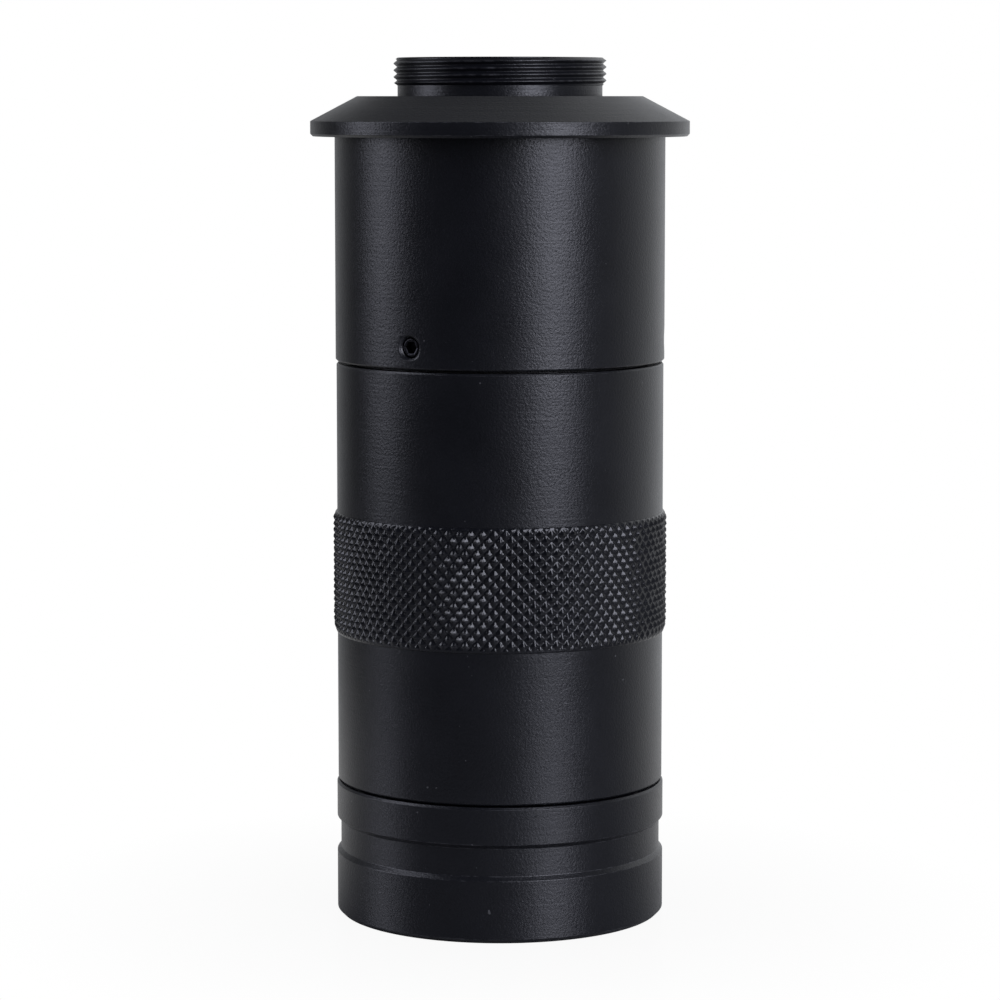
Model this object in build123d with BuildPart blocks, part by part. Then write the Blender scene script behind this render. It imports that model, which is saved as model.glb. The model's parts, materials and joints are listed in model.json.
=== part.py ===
from build123d import *

import math
import os

# C-mount zoom lens for a camera microscope, in millimetres.
# The optical axis is +Z and points at the camera. The origin is the centre of the lower, open end.
# A zoom sleeve turns on a fixed guide tube. Helical slots in the sleeve's cam tube carry the pins of
# two lens groups along straight slots in the guide tube.

os.makedirs("parts", exist_ok=True)

# Outside lengths, from the lower end up
ring_height = 16.2
lower_seam = 0.2
sleeve_length = 50.4
upper_seam = 0.33
barrel_length = 26.67
rim_height = 1.8
cone_height = 2.95
neck_height = 1.25
thread_length = 3.3

# Outside radii: the sleeve's, and what stands out from it
sleeve_r = 19.65
ring_step = 0.15
barrel_step = 0.1
rim_overhang = 2.9
register_r = 17.05
thread_crest_r = 12.68
neck_depth = 0.46
undercut_margin = 0.12
undercut_depth = 0.2

# Small edges outside
sleeve_chamfer = 0.2
barrel_chamfer = 0.3
rim_chamfer = 0.2
thread_chamfer = 0.35
ring_top_round = 0.3
ring_foot_chamfer = 0.5

# Groove around the bottom ring, for the screws of a ring light
groove_z = 7.45
groove_width = 4.05
groove_depth = 0.45
groove_shoulder = 0.68

# Knurled band of the sleeve: pyramids between crossing V grooves
knurl_start = 17.8
knurl_height = 14.8
knurl_diamond_width = 1.376
knurl_diamond_height = 1.56
knurl_crest = 0.5
knurl_root = 0.05
knurl_chamfer_drop = 0.4
knurl_upper_chamfer = 0.5
knurl_lower_chamfer = 1.0

# Walls, from the outside in
sleeve_wall = 1.65
cam_wall = 1.35
cam_cut_margin = 0.1
guide_wall = 1.35
barrel_wall = 2.5
run_fit = 0.05
screw_fit = 0.05
lens_fit = 0.02
axial_play = 0.05

# Lower mouth, threaded for an auxiliary lens and drawn at the thread's crests
mouth_wall = 2.32
mouth_depth = 3.8
mouth_chamfer = 0.5
lip_height = 1.2
lip_relief = 0.2

# Zoom motion: the sleeve's turn in degrees, the compensator's travel, and the height that is kept
# between the two sets of pins where they come closest
zoom_turn = 140.0
compensator_travel = 8.0
cam_slot_spacing = 6.5
pin_count = 3

# Cam pins
pin_r = 1.5
pin_shank_r = 1.0
pin_shank_length = 2.4
pin_end_gap = 0.2
pin_seat_gap = 0.1
pin_slot_width = 0.5
pin_slot_depth = 0.45
variator_pin_angle = 30.0
compensator_pin_angle = 90.0

# Sleeve inside: thrust washers, wave washer and the ring nut under the cam tube
thrust_washer_height = 0.5
thrust_washer_fit = 0.1
wave_washer_height = 1.4
wave_washer_sheet = 0.3
wave_count = 3
wave_steps_per_wave = 16
lock_ring_height = 2.5
sleeve_shoulder_height = 1.9

# Guide tube head, inside the upper barrel
head_length = 15.15
stop_lip_height = 1.2
stop_lip_width = 1.7
stop_lip_depth = 9.0

# Grub screws that lock the upper barrel on the guide tube's head
grub_count = 3
grub_angle = 237.8
grub_height = 2.5
grub_hole_r = 1.3
grub_recess = 0.45
grub_groove_width = 3.2
grub_groove_depth = 0.3
grub_tip_gap = 0.02
grub_socket_flats = 1.3
grub_socket_depth = 1.2

# Camera flange inside
light_bore_r = 10.5
spigot_length = 7.8
spigot_wall = 2.2
spigot_floor = 1.0
baffle_groove_count = 8
baffle_groove_pitch = 1.1
baffle_groove_depth = 0.5
baffle_start = 1.4

# Lens groups: heights count from each cell's closed end, and the seat is where the lenses start
seat_width = 0.8
retainer_gap = 0.02
retainer_height = 1.6
spanner_slot_width = 1.2
spanner_slot_depth = 0.8
cell_chamfer = 0.3
front_cell_inset = 1.0
front_cell_height = 16.0
front_seat = 4.0
front_cell_wall = 2.63
front_edges = (3.0, 2.0)
front_sags = (0.4, -1.5, 1.7)
variator_cell_height = 10.0
variator_pin_height = 6.5
variator_seat = 3.0
variator_cell_wall = 6.13
variator_edges = (3.0, 1.6)
variator_sags = (0.9, -0.8, -0.5)
compensator_cell_height = 11.0
compensator_pin_height = 2.0
compensator_seat = 4.5
compensator_cell_wall = 6.13
compensator_edges = (2.6, 1.9)
compensator_sags = (0.3, -1.1, 1.0)
rear_cell_height = 9.3
rear_seat = 2.2
rear_cell_wall = 4.63
rear_edges = (2.7, 2.0)
rear_sags = (0.3, -1.2, 1.2)
stop_disc_thickness = 0.5
stop_hole_r = 5.0

# Where the groups stand at the low end of the zoom
variator_gap = 2.5
compensator_pin_drop = 2.9

# Heights and radii that follow
sleeve_z = ring_height + lower_seam
sleeve_top = sleeve_z + sleeve_length
barrel_z = sleeve_top + upper_seam
barrel_top = barrel_z + barrel_length
cone_z = barrel_top + rim_height
register_z = cone_z + cone_height
thread_z = register_z + neck_height
nose_top = thread_z + thread_length
ring_r = sleeve_r + ring_step
barrel_r = sleeve_r + barrel_step
rim_r = barrel_r + rim_overhang
mouth_r = ring_r - mouth_wall
sleeve_bore_r = sleeve_r - sleeve_wall
cam_r = sleeve_bore_r - screw_fit
cam_bore_r = cam_r - cam_wall
guide_r = cam_bore_r - run_fit
guide_bore_r = guide_r - guide_wall
cell_r = guide_bore_r - run_fit
washer_bore_r = guide_r + thrust_washer_fit
barrel_bore_r = barrel_r - barrel_wall
head_r = barrel_bore_r - screw_fit
guide_z = mouth_depth + lip_height
shoulder_top = sleeve_top - thrust_washer_height
cam_top = shoulder_top - sleeve_shoulder_height
head_z = shoulder_top + axial_play + thrust_washer_height
guide_top = head_z + head_length
stop_z = guide_top - stop_lip_depth + stop_lip_height
lower_washer_z = ring_height + wave_washer_height + axial_play
lock_ring_z = lower_washer_z + thrust_washer_height + axial_play
cam_z = lock_ring_z + lock_ring_height
front_cell_top = guide_z + front_cell_inset + front_cell_height
variator_z = front_cell_top + variator_gap
variator_pin_z = variator_z + variator_pin_height
compensator_pin_z = cam_top - compensator_pin_drop
compensator_z = compensator_pin_z - compensator_pin_height
compensator_low_z = compensator_pin_z - compensator_travel
variator_travel = compensator_low_z - cam_slot_spacing - variator_pin_z
rear_cell_z = stop_z + stop_disc_thickness
slot_r = pin_r + run_fit


def save(piece, name):
    """Labels a finished piece and writes its file."""
    piece.part.label = name
    export_step(piece.part, f"parts/{name}.step")


def spokes(count, first_angle, height):
    """Planes around the axis at one height, each with its normal pointing straight outwards."""
    angles = [math.radians(first_angle + turn * 360 / count) for turn in range(count)]
    normals = [(math.cos(angle), math.sin(angle), 0) for angle in angles]
    return [Plane(origin=(0, 0, height), x_dir=(0, 0, 1), z_dir=normal) for normal in normals]


def turned(outline):
    """A solid of revolution from the corners (radius, height) of its half section."""
    with BuildPart() as piece:
        with BuildSketch(Plane.XZ):
            with BuildLine():
                Polyline(*outline, close=True)
            make_face()
        revolve(axis=Axis.Z)
    return piece


def tube(inner_r, outer_r, bottom, top):
    """A plain tube about the axis."""
    return turned([(inner_r, bottom), (outer_r, bottom), (outer_r, top), (inner_r, top)])


# Bottom ring: screws onto the guide tube and closes the sleeve from below
groove_r = ring_r - groove_depth
groove_top = groove_z + groove_width
with BuildPart() as bottom_ring:
    add(
        turned(
            [
                (mouth_r, 0),
                (ring_r, 0),
                (ring_r, groove_z),
                (groove_r, groove_z + groove_shoulder),
                (groove_r, groove_top - groove_shoulder),
                (ring_r, groove_top),
                (ring_r, ring_height),
                (guide_r + screw_fit, ring_height),
                (guide_r + screw_fit, guide_z),
                (guide_bore_r + lip_relief, guide_z),
                (guide_bore_r + lip_relief, mouth_depth),
                (mouth_r, mouth_depth),
            ]
        ).part
    )
    foot_circles = bottom_ring.edges().group_by(Axis.Z)[0].sort_by(SortBy.RADIUS)
    chamfer(foot_circles[-1], ring_foot_chamfer)
    mouth_circle = bottom_ring.edges().group_by(Axis.Z)[0].sort_by(SortBy.RADIUS)[0]
    chamfer(mouth_circle, mouth_chamfer)
    top_circles = bottom_ring.edges().group_by(Axis.Z)[-1].sort_by(SortBy.RADIUS)
    fillet(top_circles[-1], ring_top_round)
save(bottom_ring, "bottom_ring")

# Guide tube: the fixed tube that everything runs on, with a thicker head inside the upper barrel
grub_z = barrel_z + grub_height
grub_floor_r = head_r - grub_groove_depth
with BuildPart() as guide_tube:
    add(
        turned(
            [
                (guide_bore_r, guide_z),
                (guide_r, guide_z),
                (guide_r, head_z),
                (head_r, head_z),
                (head_r, grub_z - grub_groove_width / 2),
                (grub_floor_r, grub_z - grub_groove_width / 2),
                (grub_floor_r, grub_z + grub_groove_width / 2),
                (head_r, grub_z + grub_groove_width / 2),
                (head_r, guide_top),
                (guide_bore_r, guide_top),
                (guide_bore_r, stop_z),
                (guide_bore_r - stop_lip_width, stop_z),
                (guide_bore_r - stop_lip_width, stop_z - stop_lip_height),
                (guide_bore_r, stop_z - stop_lip_height),
            ]
        ).part
    )
    variator_slot_middle = variator_pin_z + variator_travel / 2
    for plane in spokes(pin_count, variator_pin_angle, variator_slot_middle):
        with BuildSketch(plane):
            SlotCenterToCenter(variator_travel, 2 * slot_r)
        extrude(amount=sleeve_r, mode=Mode.SUBTRACT)
    compensator_slot_middle = compensator_pin_z - compensator_travel / 2
    for plane in spokes(pin_count, compensator_pin_angle, compensator_slot_middle):
        with BuildSketch(plane):
            SlotCenterToCenter(compensator_travel, 2 * slot_r)
        extrude(amount=sleeve_r, mode=Mode.SUBTRACT)
save(guide_tube, "guide_tube")


def cam_slot(rise, left_handed):
    """Cutter for one helical slot without its ends. It starts at angle 0 and height 0."""
    with BuildPart() as cutter:
        with BuildLine() as path:
            lead = rise * 360 / zoom_turn
            Helix(pitch=lead, height=rise, radius=cam_middle_r, lefthand=left_handed)
        with BuildSketch(Plane(origin=path.line @ 0, x_dir=(1, 0, 0), z_dir=path.line % 0)):
            Rectangle(cam_cut_depth, 2 * slot_r)
        sweep(is_frenet=True)
    return cutter


# Cam tube: turns with the sleeve, and its two sets of helical slots drive the pins
cam_middle_r = (cam_bore_r + cam_r) / 2
cam_cut_depth = cam_wall + 2 * cam_cut_margin
slot_ends = (
    spokes(pin_count, variator_pin_angle, variator_pin_z)
    + spokes(pin_count, variator_pin_angle - zoom_turn, variator_pin_z + variator_travel)
    + spokes(pin_count, compensator_pin_angle, compensator_pin_z)
    + spokes(pin_count, compensator_pin_angle - zoom_turn, compensator_low_z)
)
with BuildPart() as cam_tube:
    add(tube(cam_bore_r, cam_r, cam_z, cam_top).part)
    with Locations((0, 0, variator_pin_z)):
        with PolarLocations(0, pin_count, start_angle=variator_pin_angle):
            add(cam_slot(variator_travel, True).part, mode=Mode.SUBTRACT)
    with Locations((0, 0, compensator_low_z)):
        with PolarLocations(0, pin_count, start_angle=compensator_pin_angle - zoom_turn):
            add(cam_slot(compensator_travel, False).part, mode=Mode.SUBTRACT)
    with Locations(*[end.offset(cam_middle_r) for end in slot_ends]):
        Cylinder(slot_r, cam_cut_depth, mode=Mode.SUBTRACT)
save(cam_tube, "cam_tube")

# Ring nut in the lower end of the sleeve: holds the cam tube against the sleeve's inner shoulder
with BuildPart() as cam_lock_ring:
    add(tube(washer_bore_r, sleeve_bore_r - screw_fit, lock_ring_z, cam_z).part)
    for plane in spokes(2, 0, lock_ring_z):
        with BuildSketch(plane):
            Rectangle(2 * spanner_slot_depth, spanner_slot_width)
        extrude(amount=sleeve_r, mode=Mode.SUBTRACT)
save(cam_lock_ring, "cam_lock_ring")


# Knurl's counts: diamonds around the sleeve, and levels of points and crossings up the band
knurl_columns = round(2 * math.pi * (sleeve_r + knurl_crest) / knurl_diamond_width)
knurl_levels = round(2 * knurl_height / knurl_diamond_height)


def knurl_crest_r(height):
    """Radius of a pyramid's point: the crest, or the chamfer's line near an end of the band."""
    upper = knurl_chamfer_drop * max(0, 1 - (knurl_height - height) / knurl_upper_chamfer)
    lower = knurl_chamfer_drop * max(0, 1 - height / knurl_lower_chamfer)
    return sleeve_r + knurl_crest - upper - lower


def knurl_level(index):
    """Corners round the band at one level: pyramid points and groove crossings by turns."""
    height = knurl_height * index / knurl_levels
    root_r = sleeve_r + knurl_root
    at_end = index in (0, knurl_levels)
    corners = []
    for step in range(2 * knurl_columns):
        is_crossing = (step + index) % 2 == 0
        radius = root_r if at_end or is_crossing else knurl_crest_r(height)
        angle = math.pi * step / knurl_columns
        z = sleeve_z + knurl_start + height
        corners.append(Vector(radius * math.cos(angle), radius * math.sin(angle), z))
    return corners


def knurl_flanks(corner_levels):
    """Flat flanks of the pyramids: two triangles in each cell between two levels."""
    flanks = []
    for index, (lower, upper) in enumerate(zip(corner_levels, corner_levels[1:])):
        for step in range(len(lower)):
            after = (step + 1) % len(lower)
            a, b, c, d = lower[step], lower[after], upper[after], upper[step]
            starts_at_crossing = (step + index) % 2 == 0
            pair = ((a, b, c), (a, c, d)) if starts_at_crossing else ((a, b, d), (b, c, d))
            flanks += [Face(Wire.make_polygon(corners)) for corners in pair]
    return flanks


# Zoom sleeve, turned: a tube with a shoulder for the cam tube and a recess for the thrust washer
with BuildPart() as sleeve_blank:
    knurl_z = sleeve_z + knurl_start
    add(
        turned(
            [
                (sleeve_bore_r, sleeve_z),
                (sleeve_r - sleeve_chamfer, sleeve_z),
                (sleeve_r, sleeve_z + sleeve_chamfer),
                (sleeve_r, knurl_z),
                (sleeve_r + knurl_root, knurl_z),
                (sleeve_r + knurl_root, knurl_z + knurl_height),
                (sleeve_r, knurl_z + knurl_height),
                (sleeve_r, sleeve_top - sleeve_chamfer),
                (sleeve_r - sleeve_chamfer, sleeve_top),
                (sleeve_bore_r + thrust_washer_fit, sleeve_top),
                (sleeve_bore_r + thrust_washer_fit, shoulder_top),
                (washer_bore_r, shoulder_top),
                (washer_bore_r, cam_top),
                (sleeve_bore_r, cam_top),
            ]
        ).part
    )


# The plain band gives way to the knurl: flanks and two end rims take the place of its three faces
corner_levels = [knurl_level(index) for index in range(knurl_levels + 1)]
kept_faces = []
for face in sleeve_blank.faces():
    circles = face.edges().filter_by(GeomType.CIRCLE)
    if max(circle.radius for circle in circles) < sleeve_r + knurl_root / 2:
        kept_faces.append(face)
end_rims = []
for corners in (corner_levels[0], corner_levels[-1]):
    inner_circle = Wire.make_circle(sleeve_r, Plane.XY.offset(corners[0].Z))
    end_rims.append(Face(Wire.make_polygon(corners), [inner_circle]))
with BuildPart() as zoom_sleeve:
    add(Solid(Shell(kept_faces + end_rims + knurl_flanks(corner_levels))))
save(zoom_sleeve, "zoom_sleeve")

# Upper barrel: clamps on the guide tube's head with three grub screws
with BuildPart() as upper_barrel:
    add(tube(barrel_bore_r, barrel_r, barrel_z, barrel_top).part)
    lower_circles = upper_barrel.edges().group_by(Axis.Z)[0].sort_by(SortBy.RADIUS)
    chamfer(lower_circles[-1], barrel_chamfer)
    for plane in spokes(grub_count, grub_angle, grub_z):
        with BuildSketch(plane):
            Circle(grub_hole_r)
        extrude(amount=2 * barrel_r, mode=Mode.SUBTRACT)
save(upper_barrel, "upper_barrel")

# Grub screws: hexagon sockets outwards, tips in the groove of the guide tube's head
grub_tip_r = grub_floor_r + grub_tip_gap
grub_length = barrel_r - grub_recess - grub_tip_r
with BuildPart() as barrel_grub_screws:
    for plane in spokes(grub_count, grub_angle, grub_z):
        with BuildSketch(plane.offset(grub_tip_r)):
            Circle(grub_hole_r - screw_fit)
        extrude(amount=grub_length)
        with BuildSketch(plane.offset(grub_tip_r + grub_length)):
            RegularPolygon(grub_socket_flats / 2, 6, major_radius=False)
        extrude(amount=-grub_socket_depth, mode=Mode.SUBTRACT)
save(barrel_grub_screws, "barrel_grub_screws")

# Camera flange: threaded nose, neck with an undercut below it, cone and rim; spigot and light bore
neck_r = thread_crest_r - neck_depth
spigot_z = barrel_top - spigot_length
spigot_bore_r = barrel_bore_r - screw_fit - spigot_wall
spigot_floor_z = barrel_top - spigot_floor
with BuildPart() as cmount_flange:
    add(
        turned(
            [
                (spigot_bore_r, spigot_z),
                (barrel_bore_r - screw_fit, spigot_z),
                (barrel_bore_r - screw_fit, barrel_top),
                (rim_r - rim_chamfer, barrel_top),
                (rim_r, barrel_top + rim_chamfer),
                (rim_r, cone_z),
                (register_r, register_z),
                (thread_crest_r + undercut_margin, register_z),
                (thread_crest_r + undercut_margin, register_z - undercut_depth),
                (neck_r, register_z - undercut_depth),
                (neck_r, thread_z),
                (thread_crest_r - thread_chamfer, thread_z),
                (thread_crest_r, thread_z + thread_chamfer),
                (thread_crest_r, nose_top - thread_chamfer),
                (thread_crest_r - thread_chamfer, nose_top),
                (light_bore_r, nose_top),
                (light_bore_r, spigot_floor_z),
                (spigot_bore_r, spigot_floor_z),
            ]
        ).part
    )
    for groove in range(baffle_groove_count):
        groove_middle = nose_top - baffle_start - groove * baffle_groove_pitch
        with BuildSketch(Plane.XZ):
            with BuildLine():
                Polyline(
                    (light_bore_r, groove_middle - baffle_groove_pitch / 2),
                    (light_bore_r + baffle_groove_depth, groove_middle),
                    (light_bore_r, groove_middle + baffle_groove_pitch / 2),
                    close=True,
                )
            make_face()
        revolve(axis=Axis.Z, mode=Mode.SUBTRACT)
save(cmount_flange, "cmount_flange")

# Thrust washers above and below the sleeve
upper_thrust_washer = tube(washer_bore_r, sleeve_bore_r, head_z - thrust_washer_height, head_z)
save(upper_thrust_washer, "upper_thrust_washer")
lower_washer_top = lower_washer_z + thrust_washer_height
lower_thrust_washer = tube(
    washer_bore_r, sleeve_bore_r - thrust_washer_fit, lower_washer_z, lower_washer_top
)
save(lower_thrust_washer, "lower_thrust_washer")


# Wave washer: a spring strip that rises and falls around the axis and pushes the sleeve up
wave_swing = (wave_washer_height - wave_washer_sheet) / 2 - axial_play
wave_middle_z = ring_height + wave_washer_height / 2
wave_radii = (washer_bore_r + thrust_washer_fit, sleeve_bore_r - thrust_washer_fit)


def wave_section(step, steps):
    """Four corners of the strip's section at one step: inner and outer below, outer and inner above."""
    angle = 2 * math.pi * step / steps
    middle = wave_middle_z + wave_swing * math.cos(wave_count * angle)
    low, high = middle - wave_washer_sheet / 2, middle + wave_washer_sheet / 2
    inner_r, outer_r = wave_radii
    outline = ((inner_r, low), (outer_r, low), (outer_r, high), (inner_r, high))
    return [Vector(radius * math.cos(angle), radius * math.sin(angle), z) for radius, z in outline]


wave_steps = wave_steps_per_wave * wave_count
sections = [wave_section(step % wave_steps, wave_steps) for step in range(wave_steps + 1)]
wave_faces = []
for near, far in zip(sections, sections[1:]):
    for corner in range(4):
        after = (corner + 1) % 4
        a, b, c, d = near[corner], near[after], far[after], far[corner]
        wave_faces += [Face(Wire.make_polygon(triangle)) for triangle in ((a, b, c), (a, c, d))]
with BuildPart() as wave_washer:
    add(Solid(Shell(wave_faces)))
save(wave_washer, "wave_washer")


# Aperture stop: a disc on the guide tube's lip, held down by the rear cell
aperture_stop = tube(stop_hole_r, cell_r, stop_z, rear_cell_z)
save(aperture_stop, "aperture_stop")


def lens_cell(start, facing, height, seat, wall, pins):
    """Ring with a seat for the lenses, open at the end it faces (+1 up, -1 down)."""
    bore_r = cell_r - wall
    clear_r = bore_r - lens_fit - seat_width
    with BuildPart() as cell:
        outline = [
            (clear_r, 0),
            (cell_r, 0),
            (cell_r, height),
            (bore_r, height),
            (bore_r, seat),
            (clear_r, seat),
        ]
        add(turned([(radius, start + facing * rise) for radius, rise in outline]).part)
        rims = cell.edges().filter_by(GeomType.CIRCLE).group_by(SortBy.RADIUS)[-1]
        chamfer(rims, cell_chamfer)
        for plane in pins:
            with BuildSketch(plane.offset(cell_r + pin_seat_gap - pin_shank_length)):
                Circle(pin_shank_r + screw_fit)
            extrude(amount=2 * pin_shank_length, mode=Mode.SUBTRACT)
    return cell


def retainer(start, facing, seat, edges, lens_r):
    """Ring nut that holds a lens group in its cell, with two slots for a spanner."""
    base = start + facing * (seat + sum(edges) + retainer_gap)
    top = base + facing * retainer_height
    with BuildPart() as ring:
        add(tube(lens_r - seat_width, lens_r, min(base, top), max(base, top)).part)
        for plane in spokes(2, 0, top):
            with BuildSketch(plane):
                Rectangle(2 * spanner_slot_depth, spanner_slot_width)
            extrude(amount=2 * lens_r, mode=Mode.SUBTRACT)
    return ring


def lens(start, facing, lens_r, near, far):
    """Round lens between two surfaces, each (height of its rim, sag of its centre)."""
    clear_r = lens_r - seat_width

    def surface(edge_height, sag):
        """Points from the axis to the clear edge, on a sphere through both."""
        sphere_r = (clear_r**2 + sag**2) / (2 * abs(sag))
        half_way_drop = sphere_r - math.sqrt(sphere_r**2 - clear_r**2 / 4)
        half_way_sag = sag - math.copysign(half_way_drop, sag)
        outline = ((0, edge_height + sag), (clear_r / 2, edge_height + half_way_sag), (clear_r, edge_height))
        return [(radius, start + facing * rise) for radius, rise in outline]

    near_points, far_points = surface(*near), surface(*far)
    near_rim = (lens_r, near_points[2][1])
    far_rim = (lens_r, far_points[2][1])
    with BuildPart() as glass:
        with BuildSketch(Plane.XZ):
            with BuildLine():
                ThreePointArc(*near_points)
                Polyline(near_points[2], near_rim, far_rim, far_points[2])
                ThreePointArc(*far_points)
                Line(far_points[0], near_points[0])
            make_face()
        revolve(axis=Axis.Z)
    return glass


def cam_pins(pins):
    """Shoulder screws with their slotted heads in both slots and their shanks in the cell."""
    head_start = cell_r + pin_seat_gap
    head_length = cam_r - pin_end_gap - head_start
    with BuildPart() as screws:
        for plane in pins:
            with BuildSketch(plane.offset(head_start - pin_shank_length)):
                Circle(pin_shank_r)
            extrude(amount=pin_shank_length)
            with BuildSketch(plane.offset(head_start)):
                Circle(pin_r)
            extrude(amount=head_length)
            with BuildSketch(plane.offset(head_start + head_length)):
                Rectangle(pin_slot_width, 2 * pin_r)
            extrude(amount=-pin_slot_depth, mode=Mode.SUBTRACT)
    return screws


def save_group(name, near_lens, far_lens, start, facing, height, seat, wall, edges, sags, pins=()):
    """Makes and writes one lens group: its cell, both lenses, retaining ring and cam pins."""
    lens_r = cell_r - wall - lens_fit
    save(lens_cell(start, facing, height, seat, wall, pins), f"{name}_cell")
    surfaces = list(zip((seat, seat + edges[0], seat + sum(edges)), sags))
    save(lens(start, facing, lens_r, surfaces[0], surfaces[1]), f"{name}_{near_lens}_lens")
    save(lens(start, facing, lens_r, surfaces[1], surfaces[2]), f"{name}_{far_lens}_lens")
    save(retainer(start, facing, seat, edges, lens_r), f"{name}_retainer")
    if pins:
        save(cam_pins(pins), f"{name}_pins")


# Front group: goes into the guide tube from below
save_group(
    "front",
    "flint",
    "crown",
    front_cell_top,
    -1,
    front_cell_height,
    front_seat,
    front_cell_wall,
    front_edges,
    front_sags,
)

# Variator: moves up as the sleeve turns
save_group(
    "variator",
    "concave",
    "meniscus",
    variator_z,
    1,
    variator_cell_height,
    variator_seat,
    variator_cell_wall,
    variator_edges,
    variator_sags,
    spokes(pin_count, variator_pin_angle, variator_pin_z),
)

# Compensator: moves down as the sleeve turns
save_group(
    "compensator",
    "flint",
    "crown",
    compensator_z,
    1,
    compensator_cell_height,
    compensator_seat,
    compensator_cell_wall,
    compensator_edges,
    compensator_sags,
    spokes(pin_count, compensator_pin_angle, compensator_pin_z),
)

# Rear group: rests on the aperture stop inside the head
save_group(
    "rear",
    "flint",
    "crown",
    rear_cell_z,
    1,
    rear_cell_height,
    rear_seat,
    rear_cell_wall,
    rear_edges,
    rear_sags,
)
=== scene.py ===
import json
import math

import bmesh
import bpy
import numpy as np
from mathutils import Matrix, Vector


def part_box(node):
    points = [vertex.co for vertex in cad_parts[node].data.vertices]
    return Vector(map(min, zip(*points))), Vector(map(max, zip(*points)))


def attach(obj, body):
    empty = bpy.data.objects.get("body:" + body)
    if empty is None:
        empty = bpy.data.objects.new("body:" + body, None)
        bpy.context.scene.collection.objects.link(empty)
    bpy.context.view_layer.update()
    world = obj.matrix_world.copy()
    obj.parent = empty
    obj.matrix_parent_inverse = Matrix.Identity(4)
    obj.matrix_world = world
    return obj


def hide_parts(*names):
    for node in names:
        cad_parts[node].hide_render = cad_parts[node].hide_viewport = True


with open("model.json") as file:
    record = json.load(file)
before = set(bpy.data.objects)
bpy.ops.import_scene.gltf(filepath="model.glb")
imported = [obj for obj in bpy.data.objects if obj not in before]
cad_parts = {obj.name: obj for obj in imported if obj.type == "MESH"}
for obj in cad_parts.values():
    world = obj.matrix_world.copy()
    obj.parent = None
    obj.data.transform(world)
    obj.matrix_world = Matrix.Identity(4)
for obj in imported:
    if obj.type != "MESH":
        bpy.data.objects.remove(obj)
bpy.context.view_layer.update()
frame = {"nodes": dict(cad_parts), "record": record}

bl_info = {
    "name": "C-mount zoom lens",
    "version": (1, 0, 0),
    "blender": (4, 5, 0),
    "location": "View3D > Sidebar > Zoom lens",
    "description": "Turned, knurled and threaded outside of a zoom lens, its finishes and its studio",
    "category": "Object",
}

MM = 0.001
TURN = 2 * math.pi


def low(node):
    """Height of a node's lower end."""
    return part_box(node)[0].z


def high(node):
    """Height of a node's upper end."""
    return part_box(node)[1].z


def outer_r(node):
    """Largest radius of a round node."""
    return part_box(node)[1].x


def mount_size(name, key):
    """A dimension of one of the record's mounts, in metres."""
    mounts = {mount["name"]: mount for mount in frame["record"]["mounts"]}
    return mounts[name]["dims"][key] * MM


def length(name, text, default):
    """A length property in metres."""
    return bpy.props.FloatProperty(
        name=name, description=text, default=default, min=0, precision=5, unit="LENGTH", subtype="DISTANCE"
    )


def angle(name, text, default):
    """An angle property, its default given in degrees."""
    return bpy.props.FloatProperty(
        name=name, description=text, default=math.radians(default), unit="ROTATION", subtype="ANGLE"
    )


def share(name, text, default, top=1.0):
    """A plain number from 0 up to top."""
    return bpy.props.FloatProperty(
        name=name, description=text, default=default, min=0, max=top, precision=4, subtype="FACTOR"
    )


def colour(name, text, default):
    """A linear colour property."""
    return bpy.props.FloatVectorProperty(
        name=name, description=text, default=default, size=3, min=0, max=1, subtype="COLOR"
    )


def count(name, text, default):
    """A whole number property."""
    return bpy.props.IntProperty(name=name, description=text, default=default, min=1)


class FlangeSizes(bpy.types.PropertyGroup):
    """Sizes of the camera flange that its box doesn't give."""

    register_r: length("Register radius", "Outer radius of the flat face that meets the camera", 17.05 * MM)
    rim_height: length("Rim height", "Height of the straight rim under the cone", 1.8 * MM)
    rim_chamfer: length("Rim chamfer", "Chamfer of the rim's lower edge", 0.3 * MM)
    cone_height: length("Cone height", "Height of the cone above the rim", 2.95 * MM)
    neck_height: length("Neck height", "Height of the plain neck below the thread", 1.25 * MM)
    pitch: length("Thread pitch", "Pitch of the camera thread", 25.4 * MM / 32)
    thread_depth: length("Thread depth", "Depth of the camera thread", 0.36 * MM)
    neck_r: length("Neck radius", "Radius of the plain neck below the thread", 12.22 * MM)
    undercut_r: length("Undercut radius", "Radius of the groove around the foot of the neck", 12.8 * MM)
    undercut_depth: length("Undercut depth", "Depth of the groove around the foot of the neck", 0.2 * MM)
    bore_r: length("Bore radius", "Radius of the light bore", 10.5 * MM)
    baffle_depth: length("Baffle depth", "Depth of the V grooves in the light bore", 0.5 * MM)
    baffle_pitch: length("Baffle pitch", "Distance between the V grooves", 1.1 * MM)
    spigot_length: length("Spigot length", "How far the flange reaches into the barrel", 7.8 * MM)
    spigot_wall: length("Spigot wall", "Wall of the spigot", 2.2 * MM)
    spigot_r: length("Spigot radius", "Outer radius of the spigot", 17.2 * MM)


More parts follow.
